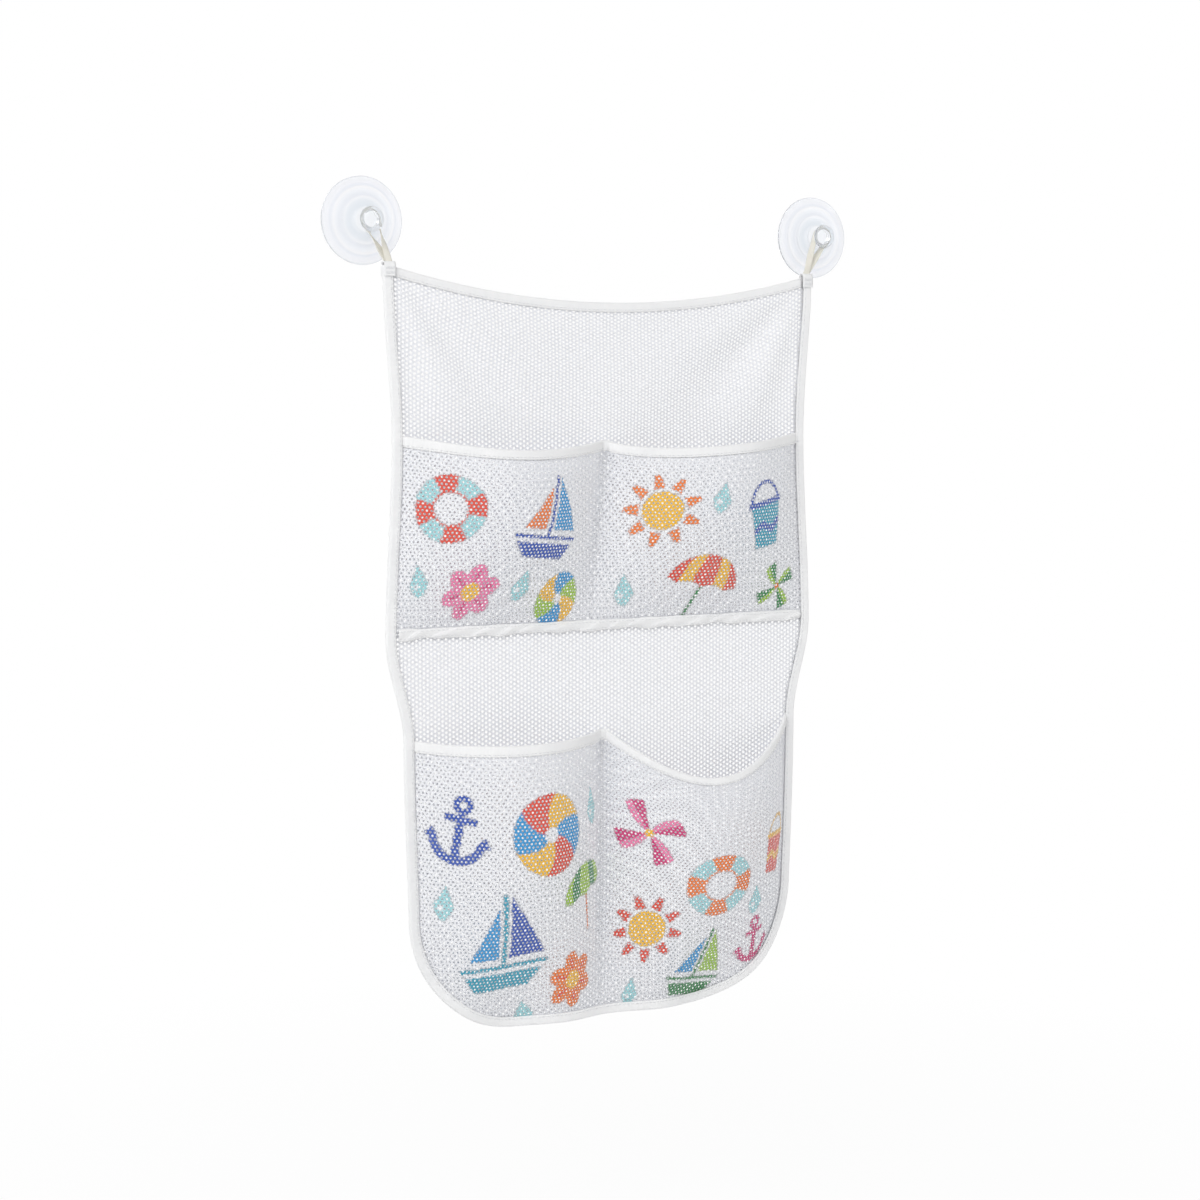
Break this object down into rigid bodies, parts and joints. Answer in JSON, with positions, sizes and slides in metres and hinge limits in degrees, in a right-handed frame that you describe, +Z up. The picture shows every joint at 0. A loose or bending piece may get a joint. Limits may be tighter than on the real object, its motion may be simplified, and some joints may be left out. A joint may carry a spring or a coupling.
{
  "type": "bath toy organizer",
  "caption": "Hanging mesh bag with open-topped pockets in two rows, bound with tape and hung by ribbon loops from clear suction cups, for bath toys and bottles.",
  "frame": {"origin": "on the wall plane, midway between the centres of the two suction cups", "axes": "+Z up, +X to the right as seen from the front, +Y into the wall, so the pockets face -Y"},
  "size_m": [0.409, 0.0558, 0.5687],
  "materials": {
    "white_mesh": "white knitted mesh",
    "printed_mesh": "white knitted mesh with a coloured print",
    "white_tape": "woven white tape",
    "white_thread": "white sewing thread",
    "cream_ribbon": "satin cream ribbon",
    "clear_vinyl": "clear soft vinyl"
  },
  "bodies": {
    "hanging_loops": {"left_hanging_loop": "cream_ribbon", "right_hanging_loop": "cream_ribbon"},
    "bag": {"back_panel": "white_mesh", "upper_pocket_panel": "printed_mesh", "lower_pocket_panel": "printed_mesh", "top_binding": "white_tape", "edge_binding": "white_tape", "upper_mouth_binding": "white_tape", "lower_mouth_binding": "white_tape", "upper_pocket_hem": "white_tape", "upper_divider_seam": "white_thread", "lower_divider_seam": "white_thread", "left_corner_tack": "white_tape", "right_corner_tack": "white_tape"},
    "left_cup": {"left_suction_cup": "clear_vinyl"},
    "right_cup": {"right_suction_cup": "clear_vinyl"}
  },
  "joints": [
    {"name": "bag_swing", "type": "hinge", "parent": "hanging_loops", "child": "bag", "pos_m": [0, -0.01265, -0.029], "axis": [-1, 0, 0], "range_deg": [0, 90]},
    {"name": "left_cup_turn", "type": "hinge", "parent": "hanging_loops", "child": "left_cup", "pos_m": [-0.176, -0.01195, 0], "axis": [0, 1, 0], "continuous": true},
    {"name": "right_cup_turn", "type": "hinge", "parent": "hanging_loops", "child": "right_cup", "pos_m": [0.176, -0.01195, 0], "axis": [0, 1, 0], "continuous": true}
  ]
}
